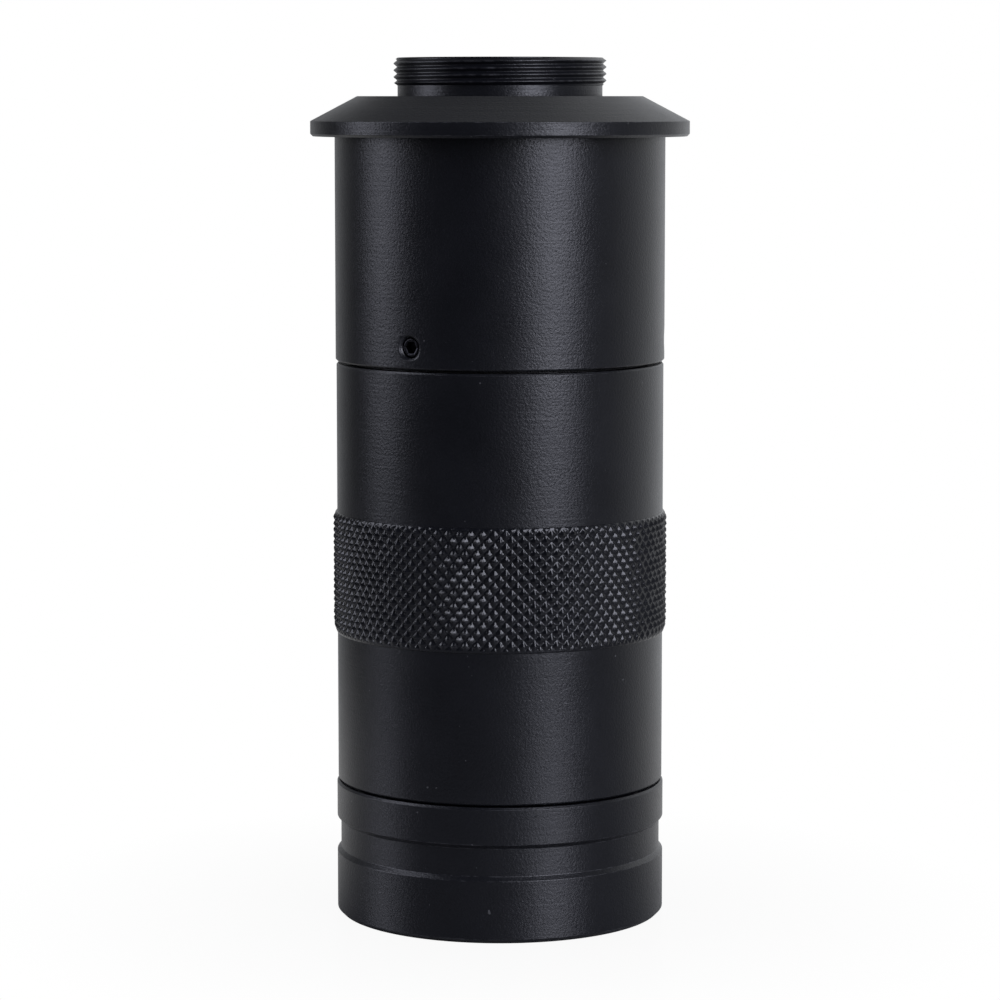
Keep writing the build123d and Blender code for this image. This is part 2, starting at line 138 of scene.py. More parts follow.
class BarrelSizes(bpy.types.PropertyGroup):
    """Sizes of the upper barrel and its grub screws."""

    wall: length("Wall", "Wall of the upper barrel", 2.5 * MM)
    chamfer: length("Chamfer", "Chamfer of the lower edge", 0.16 * MM)
    hole_count: count("Holes", "Number of tapped holes", 3)
    hole_angle: angle("Hole angle", "Direction of the first tapped hole, from +X", 237.8)
    hole_height: length("Hole height", "Height of the holes above the lower edge", 2.5 * MM)
    hole_r: length("Hole radius", "Radius of the tapped holes at their thread's crests", 1.22 * MM)
    hole_thread: length("Hole thread depth", "Depth of the thread in the holes", 0.13 * MM)
    hole_pitch: length("Hole thread pitch", "Pitch of the thread in the holes", 0.45 * MM)
    hole_chamfer: length("Hole chamfer", "Chamfer around the mouth of the holes", 0.25 * MM)
    screw_recess: length("Screw recess", "How far the screws lie below the surface", 0.42 * MM)
    socket_flats: length("Socket flats", "Width of the screws' sockets across their flats", 1.3 * MM)
    socket_depth: length("Socket depth", "Depth of the screws' sockets", 1.1 * MM)


class SleeveSizes(bpy.types.PropertyGroup):
    """Sizes of the zoom sleeve and its knurl."""

    radius: length("Radius", "Outer radius of the plain sleeve", 19.65 * MM)
    bore_r: length("Bore radius", "Radius of the sleeve's bore", 18.0 * MM)
    shoulder_r: length("Shoulder radius", "Radius of the shoulder at the upper end of the bore", 16.65 * MM)
    shoulder_height: length("Shoulder height", "Height of that shoulder", 1.9 * MM)
    recess_depth: length("Washer recess", "Depth of the recess above the shoulder", 0.5 * MM)
    edge: length("Edge", "Rounding of the ends", 0.06 * MM)
    knurl_start: length("Knurl start", "Height of the knurl above the sleeve's lower end", 17.95 * MM)
    knurl_height: length("Knurl height", "Height of the knurled band", 14.55 * MM)
    columns: count("Diamonds around", "Number of knurl diamonds around the sleeve", 92)
    levels: count("Half rows", "Number of half diamonds up the band", 19)
    crest: length("Crest", "Height of the pyramids' points over the plain sleeve", 0.5 * MM)
    root: length("Root", "Height of the grooves' floors over the plain sleeve", 0.12 * MM)
    groove_round: share("Groove rounding", "Rounding of the floors, as a share of half a diamond", 0.1)
    ridge_round: share("Ridge rounding", "Rounding of the ridges, as a share of half a diamond", 0.05)
    chamfer_drop: length("Knurl chamfer", "How far the points drop at the band's ends", 0.4 * MM)
    upper_chamfer: length("Upper chamfer", "Height of the chamfer at the band's upper end", 0.5 * MM)
    lower_chamfer: length("Lower chamfer", "Height of the chamfer at the band's lower end", 1.0 * MM)
    collar_height: length("Collar height", "Height of the smooth collar that ends the knurl above", 0.16 * MM)
    unevenness: length("Unevenness", "How much the pyramids differ in height", 0.03 * MM)


class RingSizes(bpy.types.PropertyGroup):
    """Sizes of the bottom ring."""

    groove_z: length("Groove height", "Height of the groove's lower edge", 7.45 * MM)
    groove_width: length("Groove width", "Width of the groove", 4.3 * MM)
    groove_depth: length("Groove depth", "Depth of the groove", 0.45 * MM)
    shoulder: length("Groove shoulder", "Height of the groove's sloped shoulders", 0.5 * MM)
    thread_pitch: length("Thread pitch", "Pitch of the thread in the mouth", 0.5 * MM)
    thread_depth: length("Thread depth", "Depth of the thread in the mouth", 0.28 * MM)
    mouth_depth: length("Mouth depth", "Depth of the threaded mouth", 3.8 * MM)
    lip_height: length("Lip height", "Thickness of the inner lip", 1.2 * MM)
    lip_r: length("Lip radius", "Radius of the inner lip's hole", 15.4 * MM)
    bore_r: length("Bore radius", "Radius of the bore above the lip", 16.6 * MM)
    foot_chamfer: length("Foot chamfer", "Chamfer of the lower edges", 0.5 * MM)
    top_chamfer: length("Top chamfer", "Height of the upper edge's chamfer", 0.26 * MM)
    top_gap: length("Top gap", "How far the upper edge is turned back from the sleeve", 0.04 * MM)


class FinishLooks(bpy.types.PropertyGroup):
    """Colours and textures of the finishes."""

    anodise: colour("Anodise", "Colour of the black anodised outside", (0.0052, 0.0056, 0.0076))
    inner: colour("Inner black", "Colour of the matt black inside", (0.005, 0.005, 0.0055))
    roughness: share("Roughness", "Roughness of the anodised outside", 0.32)
    knurl_roughness: share("Knurl roughness", "Roughness of the rolled knurl", 0.22)
    grain: length("Grain", "Size of the blasted grain", 0.28 * MM)
    grain_depth: length("Grain depth", "Depth of the blasted grain", 0.036 * MM)
    edge_light: share("Edge wear", "How much the edges are rubbed lighter", 0.35)
    dust: share("Dust", "How many specks of dust lie on the surface", 0.2)


class StudioSettings(bpy.types.PropertyGroup):
    """Camera, lamps, backdrop and table."""

    distance: length("Camera distance", "Distance of the camera from the optical axis", 0.4263)
    height: length("Camera height", "Height of the camera", 0.09855)
    tilt: angle("Camera tilt", "How far the camera looks down", 6.491)
    focal: share("Focal length", "Focal length in millimetres", 127.8, 500.0)
    centre_x: length("Camera side", "How far the camera stands to the side", 0.0)
    key: share("Key", "Radiance of the right-hand softbox", 5.6, 50.0)
    side: share("Side", "Radiance of the left-hand softbox", 2.7, 50.0)
    behind_left: share("Behind left", "Brightness of the backdrop to the left, in reflections", 0.5)
    behind_right: share("Behind right", "Brightness of the backdrop to the right, in reflections", 0.8)
    above_left: share("Above left", "Brightness over the left side, in reflections", 0.1)
    above: share("Above", "Brightness overhead, in reflections", 0.33)
    above_right: share("Above right", "How much brighter it is over the right side", 0.66)
    floor_glow: share("Floor glow", "How bright the table looks in reflections", 0.5)
    floor_r: length("Floor radius", "Radius of the pale table", 0.16)


SETTINGS = {
    "lens_flange": FlangeSizes,
    "lens_barrel": BarrelSizes,
    "lens_sleeve": SleeveSizes,
    "lens_ring": RingSizes,
    "lens_finish": FinishLooks,
    "lens_studio": StudioSettings,
}


def outline(corners, steps=4, support=0.04 * MM):
    """Radii, heights and wear along a line through corners (radius, height, rounding).
    A rounded corner becomes an arc tangent to both sides, with a point just before and after it."""
    points = []
    size = len(corners)
    for index in range(size):
        r, z, rounding = corners[index]
        here = np.array((r, z))
        before = np.array(corners[index - 1][:2]) - here
        after = np.array(corners[(index + 1) % size][:2]) - here
        if rounding <= 0:
            points.append(np.array([[r, z, 0.0]]))
            continue
        reach_before, reach_after = np.linalg.norm(before), np.linalg.norm(after)
        before, after = before / reach_before, after / reach_after
        half = math.acos(np.clip(before @ after, -1, 1)) / 2
        cut = min(rounding / math.tan(half), 0.45 * reach_before, 0.45 * reach_after)
        radius = cut * math.tan(half)
        middle = here + (before + after) / np.linalg.norm(before + after) * radius / math.sin(half)
        start, end = here + before * cut, here + after * cut
        sweep = np.linspace(0, 1, steps + 1)[:, None]
        chord = (start - middle) * (1 - sweep) + (end - middle) * sweep
        arc = middle + chord / np.linalg.norm(chord, axis=1)[:, None] * radius
        extra = min(support, 0.3 * cut)
        arc = np.vstack([start + before * extra, arc, end + after * extra])
        wear = np.concatenate([[0.0], np.ones(steps + 1), [0.0]])
        points.append(np.column_stack([arc, wear]))
    line = np.vstack(points)
    return line[:, 0], np.maximum(line[:, 1], 0), line[:, 2]


def loop_faces(rows, columns):
    """Quads of a grid that closes on itself both ways, as rows of four vertex numbers."""
    row, column = np.meshgrid(np.arange(rows), np.arange(columns), indexing="ij")
    next_row, next_column = (row + 1) % rows, (column + 1) % columns
    corners = (row * columns + column, row * columns + next_column)
    opposite = (next_row * columns + next_column, next_row * columns + column)
    return np.stack(corners + opposite, axis=-1).reshape(-1, 4)


def turned_points(radii, heights, angles):
    """Points of a turned surface: radius and height may change along the rows and around the axis."""
    rows, columns = len(heights), len(angles)
    radii = np.broadcast_to(radii if radii.ndim == 2 else radii[:, None], (rows, columns))
    heights = np.broadcast_to(heights if heights.ndim == 2 else heights[:, None], (rows, columns))
    x, y = radii * np.cos(angles), radii * np.sin(angles)
    return np.stack([x, y, heights], axis=-1).reshape(-1, 3)


def make_piece(name, points, faces, wear, body, nodes, finish):
    """A mesh object with its finish: doubles merged, normals outwards, riding on its body in place of
    its nodes."""
    mesh = bpy.data.meshes.new(name)
    mesh.from_pydata(points.tolist(), [], [face.tolist() for face in faces])
    attribute = mesh.attributes.new("wear", "FLOAT", "POINT")
    attribute.data.foreach_set("value", np.asarray(wear, np.float32))
    work = bmesh.new()
    work.from_mesh(mesh)
    bmesh.ops.remove_doubles(work, verts=work.verts, dist=1e-7)
    bmesh.ops.recalc_face_normals(work, faces=work.faces)
    work.to_mesh(mesh)
    work.free()
    mesh.shade_smooth()
    mesh.set_sharp_from_angle(angle=math.radians(50))
    piece = bpy.data.objects.new(name, mesh)
    bpy.context.scene.collection.objects.link(piece)
    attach(piece, body)
    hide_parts(*nodes)
    mesh.materials.append(bpy.data.materials[finish])
    return piece


def thread_depth_at(along, around, pitch, depth):
    """How deep a thread is cut: a V wave in height less the turn's share of one pitch, flat over an
    eighth of the pitch at the crest and at the root. Depth and pitch together set the flanks' angle."""
    phase = np.mod(along / pitch - around / TURN, 1.0)
    wave = np.abs(2 * phase - 1)
    return depth * np.clip((wave - 0.125) / 0.75, 0, 1)


def add_node(tree, kind, inputs=None, **settings):
    """One node, its settings set and its inputs given as numbers or linked from outputs."""
    node = tree.nodes.new(kind)
    for key, value in settings.items():
        setattr(node, key, value)
    for key, value in (inputs or {}).items():
        if isinstance(value, bpy.types.NodeSocket):
            tree.links.new(value, node.inputs[key])
        else:
            node.inputs[key].default_value = value
    return node


class Shader:
    """Builds one material's nodes."""

    def __init__(self, name):
        self.material = bpy.data.materials.new(name)
        self.material.use_nodes = True
        self.tree = self.material.node_tree
        self.tree.nodes.clear()
        self.output = self.add("ShaderNodeOutputMaterial")
        self.place = self.add("ShaderNodeTexCoord").outputs["Object"]

    def add(self, kind, inputs=None, **settings):
        """One node of this material."""
        return add_node(self.tree, kind, inputs, **settings)

    def noise(self, size, detail=2.0, stretch=(1, 1, 1)):
        """Noise with features of about this size in metres, squeezed or stretched along the axes."""
        scaled = self.add("ShaderNodeMapping", {"Vector": self.place, "Scale": stretch})
        inputs = {"Vector": scaled.outputs[0], "Scale": 1 / size, "Detail": detail, "Roughness": 0.6}
        return self.add("ShaderNodeTexNoise", inputs).outputs["Fac"]

    def ramp(self, value, low_in, high_in, low_out, high_out):
        """A number brought from one range to another."""
        inputs = {0: value, 1: low_in, 2: high_in, 3: low_out, 4: high_out}
        return self.add("ShaderNodeMapRange", inputs).outputs[0]

    def mix(self, factor, first, second):
        """A colour between two colours."""
        node = self.add("ShaderNodeMix", data_type="RGBA")
        for socket, value in ((node.inputs[0], factor), (node.inputs[6], first), (node.inputs[7], second)):
            if isinstance(value, bpy.types.NodeSocket):
                self.tree.links.new(value, socket)
            else:
                socket.default_value = (*value, 1.0) if isinstance(value, tuple) else value
        return node.outputs[2]

    def sum(self, first, second, operation="ADD"):
        """Two numbers put together."""
        return self.add("ShaderNodeMath", {0: first, 1: second}, operation=operation).outputs[0]

    def finish(self, bump, **inputs):
        """Puts the principled shader on the output and returns the material."""
        named = {key.replace("_", " ").title(): value for key, value in inputs.items()}
        named = {"IOR" if key == "Ior" else key: value for key, value in named.items()}
        if bump is not None:
            named["Normal"] = bump
        shader = self.add("ShaderNodeBsdfPrincipled", named)
        self.tree.links.new(shader.outputs[0], self.output.inputs["Surface"])
        return self.material


def anodised(name, base, roughness, finish, worn=True, lathe_lines=0.3, depth=1.0):
    """Blasted and anodised aluminium: fine grain, faint turning lines, cloudy tone, rubbed edges and dust."""
    shader = Shader(name)
    grain = shader.noise(finish.grain, 3.0)
    clouds = shader.noise(9 * MM, 3.0)
    rings = shader.noise(0.35 * MM, 1.0, (0.02, 0.02, 1))
    height = shader.sum(grain, shader.sum(rings, lathe_lines, "MULTIPLY"))
    relief = {"Height": height, "Strength": 1.0, "Distance": depth * finish.grain_depth}
    bump = shader.add("ShaderNodeBump", relief)
    tone = shader.mix(shader.ramp(clouds, 0.3, 0.7, 0.0, 1.0), tuple(base), tuple(1.35 * c for c in base))
    speckle = shader.ramp(shader.noise(0.22 * MM, 1.0), 0.62, 0.8, 0.0, 0.25)
    tone = shader.mix(speckle, tone, tuple(4 * c for c in base))
    if worn:
        edge = shader.add("ShaderNodeAttribute", attribute_name="wear").outputs["Fac"]
        patches = shader.ramp(shader.noise(1.2 * MM, 3.0), 0.45, 0.7, 0.0, 1.0)
        rubbed = shader.sum(shader.sum(edge, patches, "MULTIPLY"), finish.edge_light, "MULTIPLY")
        tone = shader.mix(rubbed, tone, (0.12, 0.12, 0.13))
    flecks = shader.noise(0.5 * MM, 0.0)
    dust = shader.ramp(flecks, 0.87, 0.885, 0.0, finish.dust)
    tone = shader.mix(dust, tone, (0.35, 0.35, 0.36))
    rough = shader.sum(shader.ramp(clouds, 0.3, 0.7, -0.02, 0.03), roughness)
    rough = shader.sum(rough, shader.ramp(grain, 0.2, 0.8, -0.03, 0.03))
    return shader.finish(bump.outputs[0], base_color=tone, roughness=rough, ior=1.5)


def steel(name, base, roughness, scratch=0.3):
    """Oxidised or rolled steel with fine scratches."""
    shader = Shader(name)
    fine = shader.noise(0.12 * MM, 3.0, (1, 1, 4))
    clouds = shader.noise(1.5 * MM, 2.0)
    bump = shader.add("ShaderNodeBump", {"Height": fine, "Strength": scratch, "Distance": 0.01 * MM})
    lighter = tuple(min(1, 1.5 * c) for c in base)
    tone = shader.mix(shader.ramp(clouds, 0.3, 0.7, 0.0, 1.0), tuple(base), lighter)
    rough = shader.ramp(fine, 0.2, 0.8, roughness - 0.06, roughness + 0.08)
    return shader.finish(bump.outputs[0], base_color=tone, roughness=rough, metallic=1.0)


def coated_glass(name, tint, coat_tint):
    """Polished optical glass with a thin coloured coating and a few dust specks."""
    shader = Shader(name)
    specks = shader.ramp(shader.noise(0.25 * MM, 0.0), 0.84, 0.86, 0.0, 1.0)
    haze = shader.noise(4 * MM, 3.0)
    bump = shader.add("ShaderNodeBump", {"Height": specks, "Strength": 0.2, "Distance": 0.01 * MM})
    rough = shader.sum(shader.ramp(haze, 0.3, 0.7, 0.0, 0.03), shader.sum(specks, 0.4, "MULTIPLY"))
    tone = shader.mix(specks, tuple(tint), (0.8, 0.8, 0.8))
    return shader.finish(
        bump.outputs[0],
        base_color=tone,
        roughness=rough,
        transmission_weight=1.0,
        ior=1.6,
        coat_weight=0.6,
        coat_roughness=0.02,
        coat_tint=(*coat_tint, 1.0),
    )


def plastic(name, base):
    """Smooth moulded plastic with a faint unevenness, and painted shade that darkens its outer edge almost to
    black where it lies in the gap between the upper barrel and the sleeve.
    """
    shader = Shader(name)
    fine = shader.noise(0.3 * MM, 3.0)
    bump = shader.add("ShaderNodeBump", {"Height": fine, "Strength": 0.3, "Distance": 0.01 * MM})
    tone = shader.mix(shader.noise(3 * MM, 2.0), tuple(base), tuple(0.9 * c for c in base))
    flat = shader.add("ShaderNodeVectorMath", {0: shader.place, 1: (1, 1, 0)}, operation="MULTIPLY")
    reach = shader.add("ShaderNodeVectorMath", {0: flat.outputs[0]}, operation="LENGTH").outputs["Value"]
    uneven = shader.sum(reach, shader.sum(fine, 0.2 * MM, "MULTIPLY"))
    # Painted shade: beyond a radius of about 17 mm the plastic is darkened almost to black, standing in for
    # the shadow in the gap above the sleeve.
    painted_gap_shade = shader.ramp(uneven, 16.9 * MM, 17.2 * MM, 0.0, 0.97)
    tone = shader.mix(painted_gap_shade, tone, (0.012, 0.012, 0.012))
    rough = shader.ramp(fine, 0.2, 0.8, 0.4, 0.5)
    return shader.finish(bump.outputs[0], base_color=tone, roughness=rough, ior=1.46)


class LENS_OT_flange(bpy.types.Operator):
    """Turn the camera flange with its thread, neck, cone, rim, spigot and baffled light bore"""

    bl_idname = "zoom_lens.flange"
    bl_label = "Camera flange"

    def execute(self, context):
        sizes = context.scene.lens_flange
        columns, thread_steps = 400, 128
        bore_reach, first_baffle, baffle_half = 1.0 * MM, 1.4 * MM, 0.46
        angles = np.arange(columns) * TURN / columns
        crest_r = mount_size("camera_thread", "r_mm")
        rim_r, top = outer_r("cmount_flange"), high("cmount_flange")
        rim_z = low("cmount_flange") + sizes.spigot_length
        cone_z = rim_z + sizes.rim_height
        face_z = cone_z + sizes.cone_height
        thread_z = face_z + sizes.neck_height
        neck_r = sizes.neck_r
        spigot_bore_r = sizes.spigot_r - sizes.spigot_wall
        below = [
            (spigot_bore_r, low("cmount_flange"), 0.1 * MM),
            (sizes.spigot_r, low("cmount_flange"), 0.1 * MM),
            (sizes.spigot_r, rim_z, 0.0),
            (rim_r - sizes.rim_chamfer, rim_z, 0.05 * MM),
            (rim_r, rim_z + sizes.rim_chamfer, 0.08 * MM),
            (rim_r, cone_z, 0.09 * MM),
            (sizes.register_r, face_z, 0.09 * MM),
            (sizes.undercut_r, face_z, 0.04 * MM),
            (sizes.undercut_r, face_z - sizes.undercut_depth, 0.0),
            (neck_r, face_z - sizes.undercut_depth, 0.0),
        ]
        bore_floor = rim_z - bore_reach
        grooves = int((top - first_baffle - bore_floor) / sizes.baffle_pitch)
        middles = top - first_baffle - sizes.baffle_pitch * np.arange(grooves)
        half = baffle_half * sizes.baffle_pitch
        teeth = [(sizes.bore_r, middle + half, 0.0) for middle in middles]
        floors = [(sizes.bore_r + sizes.baffle_depth, middle, 0.0) for middle in middles]
        ends = [(sizes.bore_r, middle - half, 0.0) for middle in middles]
        inside = [(sizes.bore_r, top, 0.1 * MM)]
        inside += [corner for three in zip(teeth, floors, ends) for corner in three]
        inside += [(sizes.bore_r, bore_floor, 0.1 * MM), (spigot_bore_r, bore_floor, 0.0)]
        lower_r, lower_z, lower_wear = outline(below)
        upper_r, upper_z, upper_wear = outline(inside)
        thread_rows = np.linspace(thread_z, top, thread_steps)
        end_slope, worn_share = 1.4, 0.35
        from_end = np.minimum(thread_rows - thread_z, top - thread_rows)[:, None]
        limit = neck_r + end_slope * from_end
        cut = thread_depth_at(thread_rows[:, None], angles[None, :], sizes.pitch, sizes.thread_depth)
        thread_r = np.minimum(crest_r - cut, limit)
        spread = np.ones(columns)
        radii = np.vstack([lower_r[:, None] * spread, thread_r, upper_r[:, None] * spread])
        heights = np.concatenate([lower_z, thread_rows, upper_z])
        crest_wear = np.clip(1 - cut / (worn_share * sizes.thread_depth), 0, 1)
        wear = np.vstack([lower_wear[:, None] * spread, crest_wear, upper_wear[:, None] * spread])
        points = turned_points(radii, heights, angles)
        faces = loop_faces(len(heights), columns)
        make_piece(
            "camera_flange",
            points,
            faces,
            wear.ravel(),
            "barrel_body",
            ["cmount_flange"],
            "black anodise, turned",
        )
        return {"FINISHED"}


def barrel_hole(sizes, barrel_r, bore_r, hole_z, centre, outer_ring, inner_ring, steps):
    """One tapped hole. Rings of points run from the grid's square edge outside, over the chamfer, down
    the threaded wall and to the grid's square edge inside. A point at distance t beside and h above the
    hole's axis lies on a cylinder of radius R at sqrt(R^2 - t^2) along that axis."""
    around = np.arctan2(outer_ring[:, 1], outer_ring[:, 0])
    circle = np.column_stack([np.cos(around), np.sin(around)])
    chamfer_steps, wall_rows, fade_depth = 12, 64, 0.1 * MM
    mouth_r = sizes.hole_r + sizes.hole_chamfer
    rings, depths, wear = [], [], []
    for part in np.linspace(0, 1, steps + 1)[1:]:
        rings.append(outer_ring * (1 - part) + circle * mouth_r * part)
        depths.append(np.zeros(len(circle)))
        wear.append(float(part == 1))
    for part in np.linspace(0, 1, chamfer_steps + 1)[1:]:
        depth = sizes.hole_chamfer * part
        cut = thread_depth_at(depth, around, sizes.hole_pitch, sizes.hole_thread)
        rings.append(circle * np.maximum(mouth_r - depth, sizes.hole_r + cut)[:, None])
        depths.append(np.full(len(circle), depth))
        wear.append(1.0)
    wall = barrel_r - bore_r
    for depth in np.linspace(sizes.hole_chamfer, wall, wall_rows)[1:-1]:
        fade = min(1.0, (wall - depth) / fade_depth)
        cut = thread_depth_at(depth, around, sizes.hole_pitch, sizes.hole_thread) * fade
        rings.append(circle * (sizes.hole_r + cut)[:, None])
        depths.append(np.full(len(circle), depth))
        wear.append(0.4)
    for part in np.linspace(0, 1, steps + 1)[:-1]:
        rings.append(circle * sizes.hole_r * (1 - part) + inner_ring * part)
        depths.append(np.full(len(circle), wall))
        wear.append(0.0)
    flat = np.array(rings)
    depth = np.array(depths) / wall
    outside = np.sqrt(barrel_r**2 - flat[..., 0] ** 2)
    inside = np.sqrt(bore_r**2 - flat[..., 0] ** 2)
    along = outside * (1 - depth) + inside * depth
    x = along * math.cos(centre) - flat[..., 0] * math.sin(centre)
    y = along * math.sin(centre) + flat[..., 0] * math.cos(centre)
    points = np.stack([x, y, hole_z + flat[..., 1]], axis=-1).reshape(-1, 3)
    return points, np.repeat(wear, len(circle))


class LENS_OT_barrel(bpy.types.Operator):
    """Turn the upper barrel and tap its holes"""

    bl_idname = "zoom_lens.barrel"
    bl_label = "Upper barrel"

    def execute(self, context):
        sizes = context.scene.lens_barrel
        columns, cells = 720, 20
        barrel_r = outer_r("upper_barrel")
        bore_r = barrel_r - sizes.wall
        bottom, top = low("upper_barrel"), high("upper_barrel")
        hole_z = bottom + sizes.hole_height
        window = barrel_r * TURN / columns * cells / 2
        rows_z = np.linspace(hole_z - window, hole_z + window, cells + 1)
        corners = [
            (barrel_r, top, 0.05 * MM),
            (bore_r, top, 0.05 * MM),
        ]
        foot = [
            (bore_r, bottom, 0.05 * MM),
            (barrel_r - sizes.chamfer, bottom, 0.04 * MM),
            (barrel_r, bottom + sizes.chamfer, 0.06 * MM),
        ]
        all_r, all_z, all_wear = outline(corners + foot)
        top_points = int(np.argmax(all_z < (top + bottom) / 2))
        parts_r = [np.full(cells + 1, barrel_r), all_r[:top_points]]
        parts_r += [np.full(cells + 1, bore_r), all_r[top_points:]]
        parts_z = [rows_z, all_z[:top_points], rows_z[::-1], all_z[top_points:]]
        none = np.zeros(cells + 1)
        parts_wear = [none, all_wear[:top_points], none, all_wear[top_points:]]
        radii, heights = np.concatenate(parts_r), np.concatenate(parts_z)
        angles = sizes.hole_angle + np.arange(columns) * TURN / columns
        points = [turned_points(radii, heights, angles)]
        wear = [np.repeat(np.concatenate(parts_wear), columns)]
        inner_row = cells + 1 + top_points
        faces = loop_faces(len(heights), columns).reshape(len(heights), columns, 4)
        keep = np.ones((len(heights), columns), bool)
        patches = []
        start = len(points[0])
        side = np.arange(cells)
        edge_row = np.concatenate([0 * side, side, 0 * side + cells, cells - side])
        edge_column = np.concatenate([side, 0 * side + cells, cells - side, 0 * side])
        for hole in range(sizes.hole_count):
            middle = hole * columns // sizes.hole_count
            span = (middle - cells // 2 + np.arange(cells)) % columns
            keep[:cells, span] = False
            keep[inner_row : inner_row + cells, span] = False
            around = (middle - cells // 2 + edge_column) % columns
            turn = (edge_column - cells / 2) * TURN / columns
            lift = rows_z[edge_row] - hole_z
            outer_ring = np.column_stack([barrel_r * np.sin(turn), lift])
            inner_ring = np.column_stack([bore_r * np.sin(turn), lift])
            centre = sizes.hole_angle + hole * TURN / sizes.hole_count
            new_points, new_wear = barrel_hole(
                sizes, barrel_r, bore_r, hole_z, centre, outer_ring, inner_ring, 3
            )
            ring_size = len(edge_row)
            outer_edge = edge_row * columns + around
            inner_edge = (inner_row + cells - edge_row) * columns + around
            middle_rings = start + np.arange(len(new_points)).reshape(-1, ring_size)
            rings = np.vstack([outer_edge, middle_rings[:-1], middle_rings[-1:], inner_edge])
            beside = np.roll(rings, -1, axis=1)
            patch = np.stack([rings[:-1], beside[:-1], beside[1:], rings[1:]], axis=-1)
            patches.append(patch.reshape(-1, 4))
            points.append(new_points)
            wear.append(new_wear)
            start += len(new_points)
        faces = np.vstack([faces[keep]] + patches)
        make_piece(
            "upper_tube",
            np.vstack(points),
            faces,
            np.concatenate(wear),
            "barrel_body",
            ["upper_barrel"],
            "black anodise",
        )
        return {"FINISHED"}


class LENS_OT_screws(bpy.types.Operator):
    """Turn the grub screws with their thread, chamfer and hexagon socket"""

    bl_idname = "zoom_lens.screws"
    bl_label = "Grub screws"

    def execute(self, context):
        sizes = context.scene.lens_barrel
        columns, thread_steps = 72, 48
        clearance, tip_reach = 0.02 * MM, 0.2 * MM
        around = np.arange(columns) * TURN / columns
        barrel_r = outer_r("upper_barrel")
        screw_r = sizes.hole_r - clearance
        face = barrel_r - sizes.screw_recess
        tip = barrel_r - sizes.wall - tip_reach
        flat = sizes.socket_flats / 2 / np.cos(np.mod(around, TURN / 6) - TURN / 12)
        spread = np.ones(columns)
        thread = np.linspace(tip + 0.25 * MM, face - 0.18 * MM, thread_steps)
        cut = thread_depth_at(thread[:, None], around[None, :], sizes.hole_pitch, sizes.hole_thread)
        floor = face - sizes.socket_depth
        rows = [
            (0.0 * spread, tip),
            (0.55 * screw_r * spread, tip),
            (0.8 * screw_r * spread, tip + 0.05 * MM),
        ]
        rows += list(zip(screw_r - cut, thread))
        rows += [
            (screw_r - 0.16 * MM + 0.0 * spread, face - 0.02 * MM),
            (screw_r - 0.19 * MM + 0.0 * spread, face),
            (flat + 0.06 * MM, face),
            (flat + 0.02 * MM, face - 0.04 * MM),
            (flat, face - 0.1 * MM),
            (flat, floor),
            (0.3 * flat, floor - 0.1 * MM),
            (0.0 * spread, floor - 0.18 * MM),
        ]
        radii = np.array([row[0] for row in rows])
        along = np.array([row[1] for row in rows])[:, None] * spread
        hole_z = low("upper_barrel") + sizes.hole_height
        quads = loop_faces(len(rows), columns).reshape(len(rows), columns, 4)[:-1].reshape(-1, 4)
        points, faces = [], []
        for screw in range(sizes.hole_count):
            centre = sizes.hole_angle + screw * TURN / sizes.hole_count
            beside, above = radii * np.cos(around), radii * np.sin(around)
            x = along * math.cos(centre) - beside * math.sin(centre)
            y = along * math.sin(centre) + beside * math.cos(centre)
            points.append(np.stack([x, y, hole_z + above], axis=-1).reshape(-1, 3))
            faces.append(quads + screw * radii.size)
        make_piece(
            "grub_screws",
            np.vstack(points),
            np.vstack(faces),
            np.zeros(radii.size * sizes.hole_count),
            "barrel_body",
            ["barrel_grub_screws"],
            "black oxide steel",
        )
        return {"FINISHED"}


def knurl_surface(sizes, fine):
    """Radius and height of the knurled band on a grid of fine steps a diamond. Two families of V grooves
    cross at the corners of the diamonds, and a point's height over the grooves' floor is its distance to
    the nearest groove, so each diamond is a four-sided pyramid. A smooth minimum of both distances rounds
    its ridges, and a hyperbola in place of the V rounds the grooves' floors. A limit that drops towards
    both ends chamfers the band, and a smooth conical collar closes it above."""
    columns = sizes.columns * fine
    rows = sizes.levels * fine // 2
    across = np.arange(columns) / fine
    up = np.arange(rows + 1) / fine
    u = across[None, :] + up[:, None]
    v = across[None, :] - up[:, None]
    to_u = np.abs(u - np.round(u))
    to_v = np.abs(v - np.round(v))
    spread = np.sqrt(4 * (to_u - to_v) ** 2 + sizes.ridge_round**2)
    nearest = np.maximum(to_u + to_v - spread / 2, 0)
    softness = sizes.groove_round
    lift = np.sqrt(nearest**2 + softness**2) - softness
    lift = lift / (math.sqrt(1 + softness**2) - softness)
    draws = 997
    diamond = (np.floor(u) * 7 + np.floor(v) * 13).astype(int) % draws
    differences = np.random.default_rng(7).normal(0, 1, draws)[diamond]
    height = sizes.knurl_height * np.arange(rows + 1) / rows
    crest = sizes.crest + sizes.unevenness * differences
    radius = sizes.radius + sizes.root + (crest - sizes.root) * lift
    upper = sizes.chamfer_drop * np.maximum(0, 1 - (sizes.knurl_height - height) / sizes.upper_chamfer)
    lower = sizes.chamfer_drop * np.maximum(0, 1 - height / sizes.lower_chamfer)
    limit = sizes.radius + sizes.crest - upper - lower
    radius = np.minimum(radius, limit[:, None])
    down = sizes.knurl_height - height
    collar_slope, collar_reach = 0.35, 1.05
    collar = sizes.root + collar_slope * (down - sizes.collar_height)
    collar = np.where(down < collar_reach * sizes.collar_height, sizes.radius + collar, 0)
    radius = np.maximum(radius, collar[:, None])
    wear = np.clip((lift - 0.8) / 0.2, 0, 1)
    return radius, height, wear


